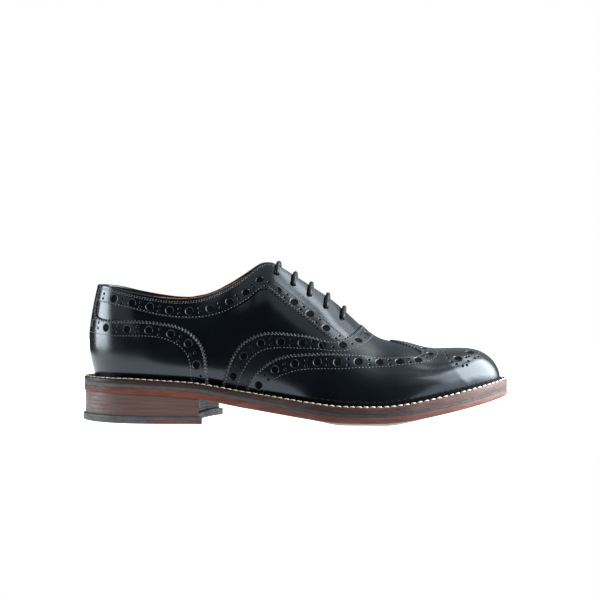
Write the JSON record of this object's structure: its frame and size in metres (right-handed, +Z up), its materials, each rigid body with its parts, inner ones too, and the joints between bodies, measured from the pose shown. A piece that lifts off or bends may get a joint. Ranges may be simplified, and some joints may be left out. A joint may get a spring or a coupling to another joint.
{
  "type": "oxford brogue",
  "caption": "Black leather wingtip oxford shoe with a punched wing cap, counter and collar, closed lacing, a welted layered sole and a stacked heel.",
  "frame": {"origin": "on the floor under the middle of the shoe's box", "axes": "+X towards the toe, +Y towards the medial side, +Z up"},
  "size_m": [0.3024, 0.1047, 0.1131],
  "materials": {
    "black_leather": "polished",
    "outsole_leather": "satin",
    "midsole_grey": "matt",
    "welt_leather": "satin",
    "stack_leather": "satin",
    "lift_rubber": "matt",
    "lining_leather": "matt",
    "lace_cotton": "waxed"
  },
  "bodies": {
    "root": {"outsole": "outsole_leather", "midsole": "midsole_grey", "welt": "welt_leather", "heel_stack": "stack_leather", "top_lift": "lift_rubber", "top_lift_insert": "outsole_leather", "insole": "lining_leather", "upper": "black_leather", "vamp": "black_leather", "wing_cap": "black_leather", "counter": "black_leather", "collar_band_lateral": "black_leather", "collar_band_medial": "black_leather", "facing_lateral": "black_leather", "facing_medial": "black_leather", "tongue": "black_leather", "lace_bar_1": "lace_cotton", "lace_bar_2": "lace_cotton", "lace_bar_3": "lace_cotton", "lace_bar_4": "lace_cotton", "lace_bar_5": "lace_cotton"}
  },
  "joints": []
}
